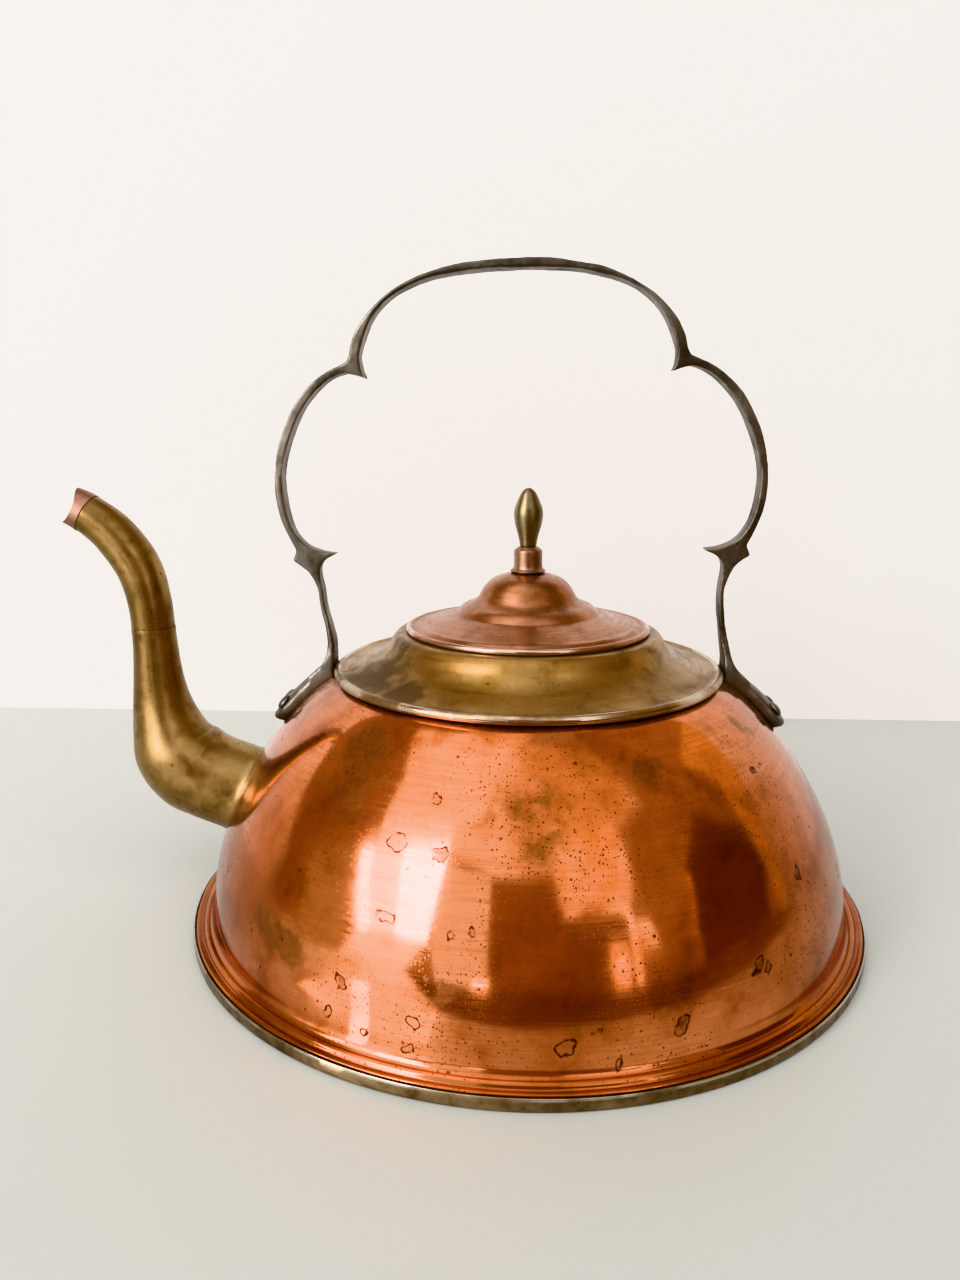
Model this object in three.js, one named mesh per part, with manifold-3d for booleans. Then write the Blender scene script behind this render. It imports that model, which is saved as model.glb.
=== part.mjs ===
// A copper kettle: spun copper body on a brass base, brass shoulder, swan-neck spout,
// cast arch handle on two riveted feet, and a stepped copper lid that lifts off.
// Millimetres, +Z up. The origin is the middle of the underside, and the spout points along -X.
import * as THREE from "three";
import { mergeVertices } from "three/addons/utils/BufferGeometryUtils.js";
import Module from "manifold-3d";

const wasm = await Module();
wasm.setup();

// ---- Driving dimensions ----

const GAP = 0.3; // between pieces that touch
const SHEET = 1.0; // wall of the spun sheet pieces
const FACETS = 40; // round a large turned piece
const SPOUT_FACETS = 18; // round the spout, the ferrule and the finial
const SMALL_FACETS = 14; // round a bolt or a rivet

const BASE_RADIUS = 120.3;
const PAN = { floor: 1.2, ledge: 3.1, rim: 4.1, wall: 0.7 };
const FLANGE_BOTTOM = PAN.ledge + GAP;

const BODY_FOOT = [112.5, 15]; // where the dome ends and the straight foot of the body starts
const SHOULDER = [66.5, 86.9]; // where the dome runs under the collar
const BODY_MOUTH = [60.5, 89.1];

const COLLAR_BEAD = { r: 67.1, z: 88.9, size: 1.5 };
const COLLAR_SEAT = 102.4; // the lid rests here
const THROAT = { radius: 41.0, bottom: 95.5 };

const SLEEVE = { radius: 40.4, bottom: 94.8, wall: 0.8 };

const STUD = { radius: 1.9, hole: 2.3, bottom: 117.0 };
const FERRULE = { bottom: 123.3, top: 131.9 };
const NUT = { radius: 4.2, bottom: 118.1, top: 120.5 };
const WASHER = { radius: 5.4, bottom: 120.8, top: 121.5 };

const SPOUT_WALL = 1.1;
const SPOUT_SEAM = 88.5; // along the spout, from its root to the brazed seam
const SPOUT_TIP_LENGTH = 7.5; // of the copper tip
const SPOUT_HOLE = 12.0; // radius of the hole in the body behind the spout
const TIP_NOTCH = { radius: 8, depth: 4.2 }; // the bird's-mouth cut, a cylinder across the end

const HANDLE_LEAN = 0.018; // towards the spout, millimetres per millimetre
const HANDLE_SHIFT = 2.35; // towards the spout
const HANDLE_FOOT_HEIGHT = 80; // the lean turns about this height
const FOOT = { thickness: 4.4, toeHalfWidth: 7.6, heelHalfWidth: 5.6, length: 16, reach: 12 };

const RIVET_RING = 84.5; // distance of the rivets from the kettle's axis
const RIVET_HALF_SPACING = 4.2;
const RIVET = { shank: 1.4, hole: 1.7, head: 2.9, headHeight: 1.5, tail: 2.3, tailHeight: 1.0 };
const BURR = { radius: 3.2, thickness: 0.8, clearance: 0.65 }; // washer under the tail of a rivet

// ---- Finishes ----

const finish = (color, roughness) => new THREE.MeshStandardMaterial({ color, roughness, metalness: 1 });
const bodyCopper = finish(0xc4693a, 0.25);
const lidCopper = finish(0xbd7149, 0.4);
const tipCopper = finish(0xa9705c, 0.45);
const collarBrass = finish(0x9a7636, 0.35);
const spoutBrass = finish(0x8c6c3a, 0.35);
const baseBrass = finish(0x6f5a2c, 0.45);
const handleBrass = finish(0x4a4034, 0.5);
const ferruleBronze = finish(0x6d5348, 0.4);
const finialBrass = finish(0x7d6b45, 0.4);

// ---- Lines: lists of [across, height] ----

function bezier(start, pull, push, end, steps) {
  const points = [start, pull, push, end].map(([x, y]) => new THREE.Vector2(x, y));
  return new THREE.CubicBezierCurve(...points).getPoints(steps).map((p) => [p.x, p.y]);
}

// The line moved sideways, to the left of the way it runs.
function offset(line, distance) {
  return line.map(([x, y], i) => {
    const before = line[Math.max(i - 1, 0)];
    const after = line[Math.min(i + 1, line.length - 1)];
    const run = [after[0] - before[0], after[1] - before[1]];
    const length = Math.hypot(...run);
    return [x - (run[1] / length) * distance, y + (run[0] / length) * distance];
  });
}

// The outside of the copper dome, from the foot up to the mouth under the collar.
const domeLine = (steps) => [...bezier(BODY_FOOT, [109.8, 47.2], [80, 82.3], SHOULDER, steps), BODY_MOUTH];
const dome = domeLine(12);

// ---- Solids ----

function toSolid(geometry) {
  const bare = new THREE.BufferGeometry();
  bare.setAttribute("position", geometry.getAttribute("position"));
  bare.setIndex(geometry.index);
  const merged = mergeVertices(bare, 1e-4);
  const mesh = new wasm.Mesh({
    numProp: 3,
    vertProperties: merged.attributes.position.array,
    triVerts: new Uint32Array(merged.index.array),
  });
  return new wasm.Manifold(mesh);
}

// A closed outline turned about the Z axis. It runs anticlockwise, seen with the axis on its left.
function turned(outline, facets = FACETS) {
  const points = [...outline, outline[0]].map(([r, z]) => new THREE.Vector2(r, z));
  return toSolid(new THREE.LatheGeometry(points, facets).rotateX(Math.PI / 2));
}

// A closed outline in the XZ plane, pushed out by halfWidth on both sides of it.
function pushed(outline, halfWidth) {
  const shape = new THREE.Shape(outline.map(([x, z]) => new THREE.Vector2(x, z)));
  const geometry = new THREE.ExtrudeGeometry(shape, { depth: 2 * halfWidth, bevelEnabled: false });
  return geometry.translate(0, 0, -halfWidth).rotateX(Math.PI / 2);
}

// A round bar from z = bottom to z = top.
const bar = (radius, bottom, top, facets = SMALL_FACETS) =>
  turned([[0, bottom], [radius, bottom], [radius, top], [0, top]], facets);

// A flat ring from z = bottom to z = top.
const ring = (inner, outer, bottom, top, facets = SMALL_FACETS) =>
  turned([[inner, bottom], [outer, bottom], [outer, top], [inner, top]], facets);

// The solid moved so that its Z axis runs along the direction, through the point.
function aimed(solid, point, direction) {
  const turn = new THREE.Quaternion().setFromUnitVectors(new THREE.Vector3(0, 0, 1), direction);
  return solid.transform(new THREE.Matrix4().compose(point, turn, new THREE.Vector3(1, 1, 1)).toArray());
}

const kettle = new THREE.Group();
const lid = new THREE.Group();
kettle.add(lid);

function place(name, solid, material, group = kettle) {
  const mesh = solid.getMesh();
  const geometry = new THREE.BufferGeometry();
  geometry.setAttribute("position", new THREE.BufferAttribute(mesh.vertProperties, 3));
  geometry.setIndex(new THREE.BufferAttribute(mesh.triVerts, 1));
  const node = new THREE.Mesh(geometry, material);
  node.name = name;
  group.add(node);
}

// ---- Base pan: a brass disc whose rim laps round the foot of the body ----

const panInside = BASE_RADIUS - PAN.wall;
place(
  "base_pan",
  turned([
    [0, 0], [BASE_RADIUS - 0.6, 0], [BASE_RADIUS, 0.6], [BASE_RADIUS, PAN.rim - 0.2],
    [BASE_RADIUS - 0.2, PAN.rim], [panInside, PAN.rim], [panInside, PAN.ledge],
    [110, PAN.ledge], [108.5, PAN.floor], [0, PAN.floor],
  ]),
  baseBrass,
);

// ---- Body: the lip, two ridges and a cove of the foot, then the dome up to its mouth ----

const lip = panInside - GAP;
const foot = [
  [lip, FLANGE_BOTTOM], [lip, 4.1], [118.7, 4.6], [117.3, 4.5],
  [116.2, 5.6], [115.2, 5.9], [113.7, 6.7], [113, 8.5],
];
const bodyInside = offset(domeLine(8), SHEET).reverse();
const bodyBlank = turned([...foot, ...dome, ...bodyInside, [112, 8.5], [112, FLANGE_BOTTOM]]);

// Everything within the given distance outside the dome.
function domeSolid(distance) {
  const skin = offset(dome, -distance);
  const top = skin[skin.length - 1][1];
  return turned([[0, BODY_FOOT[1]], ...skin, [0, top]]);
}
const cutter = domeSolid(GAP);

// ---- Spout: a swan neck in two brazed lengths, with a copper tip cut to a bird's mouth ----

// Stations along the middle of the spout: [x, height, outer radius].
const spoutStations = [
  [-95, 36.6, 16.2], [-107.7, 41.5, 16.1], [-117.4, 45.2, 16.1], [-124.4, 49.2, 16.6],
  [-129.9, 55.8, 15.6], [-132.7, 64.1, 12.9], [-134.6, 75.2, 10.1], [-135.3, 86.6, 8.5],
  [-135.5, 98.4, 7.8], [-136.3, 110.9, 7.6], [-139.6, 123.8, 7.9], [-147.1, 135, 7.7],
  [-155, 141.7, 7.2], [-163.2, 146.2, 6.6],
];
const spoutLine = new THREE.CatmullRomCurve3(spoutStations.map((s) => new THREE.Vector3(...s)));
const spoutLength = spoutLine.getLength();

// A length of the spout, from one distance along it to another.
function spoutPiece(from, to, steps, extraRadius = 0) {
  const sections = Array.from({ length: steps + 1 }, (_, i) => {
    const share = (from + ((to - from) * i) / steps) / spoutLength;
    const station = spoutLine.getPointAt(share);
    const along = spoutLine.getTangentAt(share);
    const across = new THREE.Vector2(-along.y, along.x).normalize();
    return { station, across };
  });
  const circles = [
    ...sections.map((section) => ({ ...section, inset: -extraRadius })),
    ...[...sections].reverse().map((section) => ({ ...section, inset: SPOUT_WALL })),
  ];
  const positions = circles.flatMap(({ station, across, inset }) => {
    const radius = station.z - inset;
    return Array.from({ length: SPOUT_FACETS }, (_, i) => {
      const angle = (2 * Math.PI * i) / SPOUT_FACETS;
      const side = radius * Math.cos(angle);
      return [station.x + across.x * side, radius * Math.sin(angle), station.y + across.y * side];
    }).flat();
  });
  const index = [];
  for (let c = 0; c < circles.length; c++) {
    for (let i = 0; i < SPOUT_FACETS; i++) {
      const next = (i + 1) % SPOUT_FACETS;
      const here = c * SPOUT_FACETS;
      const beyond = ((c + 1) % circles.length) * SPOUT_FACETS;
      index.push(here + i, beyond + i, here + next, here + next, beyond + i, beyond + next);
    }
  }
  const geometry = new THREE.BufferGeometry();
  geometry.setAttribute("position", new THREE.Float32BufferAttribute(positions, 3));
  geometry.setIndex(index);
  return toSolid(geometry);
}

const tipStart = spoutLength - SPOUT_TIP_LENGTH;
place("spout_lower", spoutPiece(0, SPOUT_SEAM, 14).subtract(cutter), spoutBrass);
place("spout_upper", spoutPiece(SPOUT_SEAM + GAP, tipStart - GAP, 10), spoutBrass);

const tipEnd = spoutLine.getPointAt(1);
const tipRun = spoutLine.getTangentAt(1);
tipRun.z = 0;
const notchCentre = tipEnd.clone().add(tipRun.setLength(TIP_NOTCH.radius - TIP_NOTCH.depth));
const notch = aimed(
  bar(TIP_NOTCH.radius, -10, 10, FACETS),
  new THREE.Vector3(notchCentre.x, 0, notchCentre.y),
  new THREE.Vector3(0, 1, 0),
);
place("spout_tip", spoutPiece(tipStart, spoutLength, 3, 0.25).subtract(notch), tipCopper);

// ---- Handle: an arched grip, a pointed lobe each side, straight legs and spread feet ----

// The outer edge of one half, from the middle of the grip down into the shoulder of the body.
const handleOuter = [
  ...bezier([0, 226.5], [42.9, 227.5], [55.6, 206], [56.2, 197.2], 14),
  [57.4, 195],
  ...bezier([60.8, 193.6], [73.9, 189], [84.3, 171.3], [84.3, 154.8], 8),
  ...bezier([84.3, 154.8], [84.3, 145], [83.1, 142.1], [78.2, 131.6], 6).slice(1),
  [79.5, 128.1], [76.7, 126.3], [74.1, 123.9], [72.3, 120.3], [71.3, 117], [71, 113],
  [70.8, 100], [71.6, 94], [73.2, 90.2], [75.6, 87.4], [78.3, 85.2], [78.3, 70],
];
// The inner edge of the same half, from the shoulder of the body back up to the grip.
const handleInner = [
  [69.2, 70], [69.2, 91], [68.5, 100], [69.1, 112], [69.5, 118], [70.5, 124.5], [69.6, 127],
  [66.4, 129], [63.8, 130.5], [68, 130.9],
  ...bezier([71.3, 131.7], [82, 135], [81.7, 153.6], [81.7, 154.8], 6),
  ...bezier([81.7, 154.8], [81.7, 163.8], [73.8, 188.5], [57.8, 191.6], 8).slice(1),
  [54.5, 190.9], [51.4, 189.9], [52.8, 193.8],
  ...bezier([52.9, 197], [49, 214], [39, 223.8], [0, 223.7], 14),
];
const halfWidths = [[90, 6], [96, 4], [102, 3], [128, 3.1], [136, 3.7], [190, 3.9], [205, 4.5]];

function handleHalfWidth(height) {
  const above = halfWidths.findIndex(([z]) => z > height);
  if (above === 0) return halfWidths[0][1];
  if (above < 0) return halfWidths[halfWidths.length - 1][1];
  const [lowZ, low] = halfWidths[above - 1];
  const [highZ, high] = halfWidths[above];
  return low + ((high - low) * (height - lowZ)) / (highZ - lowZ);
}

function archSolid() {
  const half = [...handleOuter, ...handleInner];
  const otherHalf = half.slice(1, -1).reverse().map(([x, z]) => [-x, z]);
  const geometry = pushed([...half, ...otherHalf], 1);
  const position = geometry.getAttribute("position");
  for (let i = 0; i < position.count; i++) {
    const [x, y, z] = [position.getX(i), position.getY(i), position.getZ(i)];
    const free = THREE.MathUtils.smoothstep(z, 92, 115); // the feet stay put, the rest leans
    const leanedX = x - free * (HANDLE_SHIFT + HANDLE_LEAN * (z - HANDLE_FOOT_HEIGHT));
    position.setXYZ(i, leanedX, y * handleHalfWidth(z), z + free * HANDLE_LEAN * x);
  }
  return toSolid(geometry);
}

// Where a rivet's axis meets the dome on the far side from the spout, and which way it points.
function rivetAxis(side) {
  const above = dome.findIndex(([r]) => r < RIVET_RING);
  const [low, high] = [dome[above - 1], dome[above]];
  const share = (low[0] - RIVET_RING) / (low[0] - high[0]);
  const height = low[1] + share * (high[1] - low[1]);
  const angle = side * Math.asin(RIVET_HALF_SPACING / RIVET_RING);
  const outward = new THREE.Vector3(high[1] - low[1], 0, low[0] - high[0]).normalize();
  const upright = new THREE.Vector3(0, 0, 1);
  return {
    point: new THREE.Vector3(RIVET_RING, 0, height).applyAxisAngle(upright, angle),
    direction: outward.applyAxisAngle(upright, angle),
  };
}

// The foot is a tongue of even thickness that follows the dome, with a round toe.
function footSolid() {
  const { point, direction } = rivetAxis(0);
  const shape = new THREE.Shape().absarc(0, 0, FOOT.toeHalfWidth, -Math.PI / 2, Math.PI / 2, false);
  shape.lineTo(-FOOT.length, FOOT.heelHalfWidth);
  shape.lineTo(-FOOT.length, -FOOT.heelHalfWidth);
  const tongue = new THREE.ExtrudeGeometry(shape, { depth: 2 * FOOT.reach, bevelEnabled: false });
  tongue.translate(0, 0, -FOOT.reach);
  return aimed(toSolid(tongue), point, direction).intersect(domeSolid(GAP + FOOT.thickness));
}

const rivets = [];
for (const [sideName, mirrored] of [["back", false], ["spout", true]]) {
  for (const side of [-1, 1]) {
    const { point, direction } = rivetAxis(side);
    if (mirrored) {
      point.x *= -1;
      direction.x *= -1;
    }
    rivets.push({ name: `${sideName}_${side < 0 ? "near" : "far"}`, point, direction });
  }
}
const rivetHoles = rivets.map(({ point, direction }) => aimed(bar(RIVET.hole, -8, 12), point, direction));
const drilled = (solid) => rivetHoles.reduce((result, hole) => result.subtract(hole), solid);

const backFoot = footSolid();
const handleBlank = archSolid().add(backFoot).add(backFoot.mirror([1, 0, 0])).subtract(cutter);
place("handle", drilled(handleBlank), handleBrass);

// ---- Rivets: a domed head on the foot, a shank through foot and body, a burr washer and a tail inside ----

const headBottom = GAP + FOOT.thickness + GAP;
const burrTop = -SHEET - BURR.clearance;
const tailTop = burrTop - BURR.thickness - GAP;
const rivetOutline = [
  [0, tailTop - RIVET.tailHeight], [RIVET.tail - 0.4, tailTop - RIVET.tailHeight],
  [RIVET.tail, tailTop - 0.4], [RIVET.tail, tailTop], [RIVET.shank, tailTop],
  [RIVET.shank, headBottom], [RIVET.head, headBottom],
  ...bezier(
    [RIVET.head, headBottom + 0.3], [RIVET.head * 0.85, headBottom + RIVET.headHeight],
    [RIVET.head * 0.4, headBottom + RIVET.headHeight], [0, headBottom + RIVET.headHeight], 5,
  ),
];
for (const { name, point, direction } of rivets) {
  place(`rivet_${name}`, aimed(turned(rivetOutline, SMALL_FACETS), point, direction), handleBrass);
  const burr = ring(RIVET.hole, BURR.radius, burrTop - BURR.thickness, burrTop);
  place(`burr_${name}`, aimed(burr, point, direction), collarBrass);
}

// ---- Body again, now with the hole behind the spout and the rivet holes ----

const [rootStart, rootEnd] = [spoutStations[0], spoutStations[1]];
const rootRun = new THREE.Vector3(rootEnd[0] - rootStart[0], 0, rootEnd[1] - rootStart[1]).normalize();
const rootPoint = new THREE.Vector3(rootEnd[0], 0, rootEnd[1]);
const spoutHole = aimed(bar(SPOUT_HOLE, -25, 20, SPOUT_FACETS), rootPoint, rootRun);
place("body_shell", drilled(bodyBlank).subtract(spoutHole), bodyCopper);

// ---- Shoulder collar: a brass ring with a beaded rim, a swept neck and a seat for the lid ----

const collarOutside = [
  [66.9, 90.2], [62.7, 90.4], [58.4, 91.8], [54.4, 93.6], [51.5, 95.4], [49.6, 97.2],
  [48.5, 99], [46.9, 101.4], [45, COLLAR_SEAT],
  [THROAT.radius + 0.5, COLLAR_SEAT], [THROAT.radius, COLLAR_SEAT - 0.5],
];
const collarInside = [
  [THROAT.radius, THROAT.bottom], [THROAT.radius + SHEET, THROAT.bottom],
  [THROAT.radius + SHEET, COLLAR_SEAT - SHEET], [45, COLLAR_SEAT - SHEET],
  [47.4, 98.8], [50.8, 94.6], [58, 90.9], [62.5, 89.4], [66.9, 89.2],
];
const beadPoints = 8;
const beadOutline = Array.from({ length: beadPoints }, (_, i) => {
  const angle = (2 * Math.PI * i) / beadPoints;
  const { r, z, size } = COLLAR_BEAD;
  return [r + size * Math.cos(angle), z + size * Math.sin(angle)];
});
place(
  "shoulder_collar",
  turned([...collarInside, ...collarOutside]).add(turned(beadOutline)),
  collarBrass,
);

// ---- Lid: a stepped copper cap, a sleeve in the throat, and a finial bolted through the top ----

const lidOutside = [
  [42.5, 102.8], [42.9, 103.4], [41.6, 104.2], [40.5, 104], [38.2, 104.9], [32.4, 106.6],
  [26.8, 108.4], [24.6, 109.4], [22.2, 111.3], [18.8, 113.4], [17.6, 114.3], [16.6, 115.4],
  [15.5, 117.3], [13.9, 119.3], [11.4, 121.1], [8.3, 122.2], [STUD.hole, 123],
];
const lidInside = [
  [STUD.hole, 121.9], [8, 121.2], [12.2, 119.2], [14.4, 116.7], [16.4, 113.6], [21.4, 110.4],
  [24.2, 108.4], [26.5, 107.3], [39.5, 103.1], [40.6, 102.9],
];
place("lid_shell", turned([...lidOutside, ...lidInside]), lidCopper, lid);

const sleeveInside = SLEEVE.radius - SLEEVE.wall;
place(
  "lid_sleeve",
  turned([
    [sleeveInside, SLEEVE.bottom], [SLEEVE.radius, SLEEVE.bottom], [SLEEVE.radius, 102.3],
    [38, 103.2], [37.6, 102.4], [sleeveInside, 101.7],
  ]),
  lidCopper,
  lid,
);

place(
  "lid_ferrule",
  turned(
    [
      [STUD.hole, FERRULE.bottom], [6.3, FERRULE.bottom], [5.4, FERRULE.bottom + 0.8], [5, 125],
      [5, 130.5], [4.2, 131.2], [3.3, FERRULE.top], [STUD.hole, FERRULE.top],
    ],
    SPOUT_FACETS,
  ),
  ferruleBronze,
  lid,
);

const finialOutside = [
  [2.9, FERRULE.top + GAP], [3.1, 133.2], [3.4, 135], [4.2, 138], [4.8, 140], [5.1, 142.7],
  [4.9, 145], [4.1, 147.2], [3.3, 149.1], [2.4, 151], [1.3, 151.9], [0, 152.3],
];
place(
  "finial",
  turned(
    [[0, STUD.bottom], [STUD.radius, STUD.bottom], [STUD.radius, FERRULE.top + GAP], ...finialOutside],
    SPOUT_FACETS,
  ),
  finialBrass,
  lid,
);
place("finial_washer", ring(STUD.hole, WASHER.radius, WASHER.bottom, WASHER.top), finialBrass, lid);
place("finial_nut", ring(STUD.hole, NUT.radius, NUT.bottom, NUT.top, 6), finialBrass, lid);

export default kettle;
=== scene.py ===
"""A copper kettle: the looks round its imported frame.

Outlines are in millimetres, and the scene is in metres.
"""
import math

import bmesh
import bpy
import numpy as np
from mathutils import Matrix, Vector, noise


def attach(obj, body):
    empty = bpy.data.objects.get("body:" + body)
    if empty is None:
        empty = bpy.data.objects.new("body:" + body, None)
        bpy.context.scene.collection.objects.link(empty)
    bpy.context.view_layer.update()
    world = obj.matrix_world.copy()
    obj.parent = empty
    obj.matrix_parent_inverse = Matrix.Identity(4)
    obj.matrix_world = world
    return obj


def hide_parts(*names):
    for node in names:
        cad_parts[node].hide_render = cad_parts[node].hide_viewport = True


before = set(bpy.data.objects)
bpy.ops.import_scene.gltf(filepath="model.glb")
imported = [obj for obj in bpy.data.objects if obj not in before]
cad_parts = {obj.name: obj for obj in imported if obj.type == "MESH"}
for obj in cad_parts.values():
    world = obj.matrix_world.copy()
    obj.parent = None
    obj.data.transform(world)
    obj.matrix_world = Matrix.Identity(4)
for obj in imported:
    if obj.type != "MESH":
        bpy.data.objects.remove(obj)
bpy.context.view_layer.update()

MM = 0.001

# ---- Lines ----


def bezier(start, pull, push, end, steps):
    """Points along a cubic Bezier curve, both ends included."""
    t = np.linspace(0, 1, steps + 1)[:, None]
    a, b, c, d = (np.array(p, float) for p in (start, pull, push, end))
    curve = (1 - t) ** 3 * a + 3 * (1 - t) ** 2 * t * b + 3 * (1 - t) * t**2 * c + t**3 * d
    return [tuple(p) for p in curve]


def spline(points, spacing):
    """Points about spacing apart on a smooth curve through the points, both ends included."""
    p = [np.array(q, float) for q in points]
    slopes = []
    for i in range(len(p)):
        before, after = p[max(i - 1, 0)], p[min(i + 1, len(p) - 1)]
        slopes.append((after - before) / np.linalg.norm(after - before))
    line = []
    for i in range(len(p) - 1):
        gap = np.linalg.norm(p[i + 1] - p[i])
        pull, push = p[i] + slopes[i] * gap / 3, p[i + 1] - slopes[i + 1] * gap / 3
        line += bezier(p[i], pull, push, p[i + 1], max(1, math.ceil(gap / spacing)))[:-1]
    return [*line, tuple(p[-1])]


def arc(centre, radius, start, end, steps):
    """Points along an arc. Angles are in degrees, anticlockwise from the first axis."""
    angles = np.radians(np.linspace(start, end, steps + 1))
    return [(centre[0] + radius * math.cos(a), centre[1] + radius * math.sin(a)) for a in angles]


def offset(line, distance):
    """The line moved to the left of the way it runs."""
    p = np.array(line, float)
    run = np.gradient(p, axis=0)
    run /= np.linalg.norm(run, axis=1)[:, None]
    moved = p + distance * np.stack([-run[:, 1], run[:, 0]], axis=1)
    return [tuple(q) for q in moved]


# ---- Meshes ----


def make_piece(name, vertices, faces, sharp=40):
    """A smooth-shaded object from vertices in millimetres. Edges sharper than the angle stay crisp."""
    mesh = bpy.data.meshes.new(name)
    mesh.from_pydata([Vector(v) * MM for v in vertices], [], faces)
    work = bmesh.new()
    work.from_mesh(mesh)
    bmesh.ops.remove_doubles(work, verts=work.verts, dist=0.002 * MM)
    bmesh.ops.dissolve_degenerate(work, edges=work.edges, dist=0.001 * MM)
    bmesh.ops.recalc_face_normals(work, faces=work.faces)
    work.to_mesh(mesh)
    work.free()
    mesh.shade_smooth()
    mesh.set_sharp_from_angle(angle=math.radians(sharp))
    piece = bpy.data.objects.new(name, mesh)
    bpy.context.scene.collection.objects.link(piece)
    return piece


def looped_faces(rows, columns):
    """Quads of a grid that closes on itself both ways, its corners numbered row by row."""
    faces = []
    for row in range(rows):
        here, beyond = row * columns, (row + 1) % rows * columns
        for column in range(columns):
            side = (column + 1) % columns
            faces.append((here + column, here + side, beyond + side, beyond + column))
    return faces


def turned_vertices(line, segments):
    """The points of a line turned about Z, ring by ring."""
    return [
        (r * math.cos(2 * math.pi * i / segments), r * math.sin(2 * math.pi * i / segments), z)
        for r, z in line
        for i in range(segments)
    ]


def turned(name, outline, segments=192):
    """A closed outline of [radius, height] turned about Z, in place of the CAD node of that name."""
    vertices = turned_vertices(outline, segments)
    piece = make_piece(f"{name}_smooth", vertices, looped_faces(len(outline), segments))
    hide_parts(name)
    return piece


def ripple(piece, size, depth, seed=0.0):
    """Slight unevenness from hand work: waves of the size and depth along the normals."""
    mesh = piece.data
    shift = Vector((seed * 7.3, seed * 3.1, seed * 5.7))
    normals = [v.normal.copy() for v in mesh.vertices]
    for vertex, normal in zip(mesh.vertices, normals):
        vertex.co += normal * noise.noise(vertex.co / (size * MM) + shift) * depth * MM
    mesh.update()


def apply_modifiers(piece):
    """Replaces the piece's mesh with the one that its modifiers make."""
    graph = bpy.context.evaluated_depsgraph_get()
    made = bpy.data.meshes.new_from_object(piece.evaluated_get(graph))
    piece.modifiers.clear()
    piece.data = made


# ---- Body: a spun copper dome on a foot with a lip, two ridges and a cove ----

SHEET = 1.0
DOME_FOOT = (112.5, 15)
SHOULDER = (66.5, 86.9)
dome = [
    *bezier(DOME_FOOT, (109.8, 47.2), (80, 82.3), SHOULDER, 110),
    (64, 87.8),
    (62, 88.5),
    (60.5, 89.1),
]
lip = [(119, 3.5), (119.3, 3.95), (119.1, 4.45), (118.5, 4.65), (117.8, 4.4), (117.2, 4.25)]
inner_ridge = [(116.9, 4.5), (116.5, 5.2), (115.8, 5.75), (115.1, 5.75), (114.6, 5.5)]
cove = [(114.3, 5.7), (113.6, 6.6), (113.15, 8.2), (112.95, 10.5), (112.6, 14)]
foot = [(118.4, 3.4), *spline(lip, 0.25), *spline(inner_ridge, 0.25), *spline(cove, 0.5)]
body_outline = [*foot, *dome, *reversed(offset(dome, SHEET)), (111.7, 8.5), (111.6, 3.4)]
body = turned("body_shell", body_outline, 288)
ripple(body, 34, 0.34)
ripple(body, 11, 0.05, seed=1)

# ---- Base pan: a brass disc whose rim laps round the copper lip ----

pan_outline = [
    (0, 0),
    (100, 0),
    *arc((119.6, 0.7), 0.7, -90, 0, 4),
    *spline([(120.25, 1.6), (120.28, 2.8), (120.2, 3.7)], 0.5),
    *arc((119.95, 3.85), 0.25, 0, 180, 5),
    (119.65, 3.2),
    (110, 3.1),
    (108.5, 1.2),
    (0, 1.2),
]
base = turned("base_pan", pan_outline, 288)
ripple(base, 26, 0.12, seed=2)

# ---- Shoulder collar: a brass ring with a beaded rim, a swept neck and a seat for the lid ----

neck_outside = [
    (66.2, 90.05), (65, 89.95), (62.7, 90.4), (58.4, 91.8), (54.4, 93.6), (51.5, 95.4),
    (49.6, 97.2), (48.5, 99), (47.8, 100.2), (46.9, 101.3), (45.9, 102.1), (44.8, 102.4),
]
neck_inside = [
    (44.6, 101.3), (46.2, 100.2), (47.5, 98.3), (50.2, 95.1), (54, 92.8), (58, 90.9), (62.5, 89.4),
]
collar_outside = [
    *arc((67.1, 88.9), 1.5, -200, 112, 26),
    *spline(neck_outside, 0.6),
    (43, 102.4),
    *arc((41.6, 101.8), 0.6, 90, 180, 5),
]
collar_inside = [(41, 95.5), (42, 95.5), (42, 101.3), *spline(neck_inside, 1.2)]
collar = turned("shoulder_collar", [*collar_inside, *collar_outside], 240)
ripple(collar, 22, 0.16, seed=3)

# ---- Lid: a stepped copper cap with a beaded edge, and its sleeve ----

lid_bead = [
    (42, 102.45), (42.75, 102.7), (43, 103.3), (42.85, 103.95), (42.3, 104.4), (41.6, 104.45),
    (41, 104.15),
]
lid_skirt = [
    (40.6, 103.9), (40.1, 104), (39.5, 104.45), (38.9, 104.9), (38.2, 105.1), (37.5, 105.1),
    (36.9, 105.15), (35.7, 105.55), (32.4, 106.6), (29.3, 107.5), (27, 108.2), (25.8, 108.5),
]
lid_step = [
    (25.2, 108.75), (24.6, 109.5), (23.7, 110.5), (22.6, 111.3), (21.4, 111.8), (20.3, 112.15),
    (18.8, 112.95), (17.7, 113.8), (17.1, 114.6),
]
lid_crown = [
    (16.7, 115.4), (16.1, 116.4), (15.5, 117.4), (14.7, 118.4), (13.9, 119.3), (12.8, 120.25),
    (11.1, 121.2), (8.3, 122.15), (6, 122.7),
]
lid_underside = [
    (8, 121.2), (12.2, 119.2), (14.4, 116.7), (16.4, 113.6), (21.4, 110.4), (24.2, 108.4),
    (26.5, 107.3), (39.5, 103.1), (41, 102.6),
]
lid_outline = [
    *spline(lid_bead, 0.15),
    *spline(lid_skirt, 0.3),
    *spline(lid_step, 0.3),
    *spline(lid_crown, 0.4),
    (2.3, 123),
    (2.3, 121.9),
    *spline(lid_underside, 1.2),
]
lid = turned("lid_shell", lid_outline, 192)
ripple(lid, 17, 0.12, seed=4)

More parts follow.
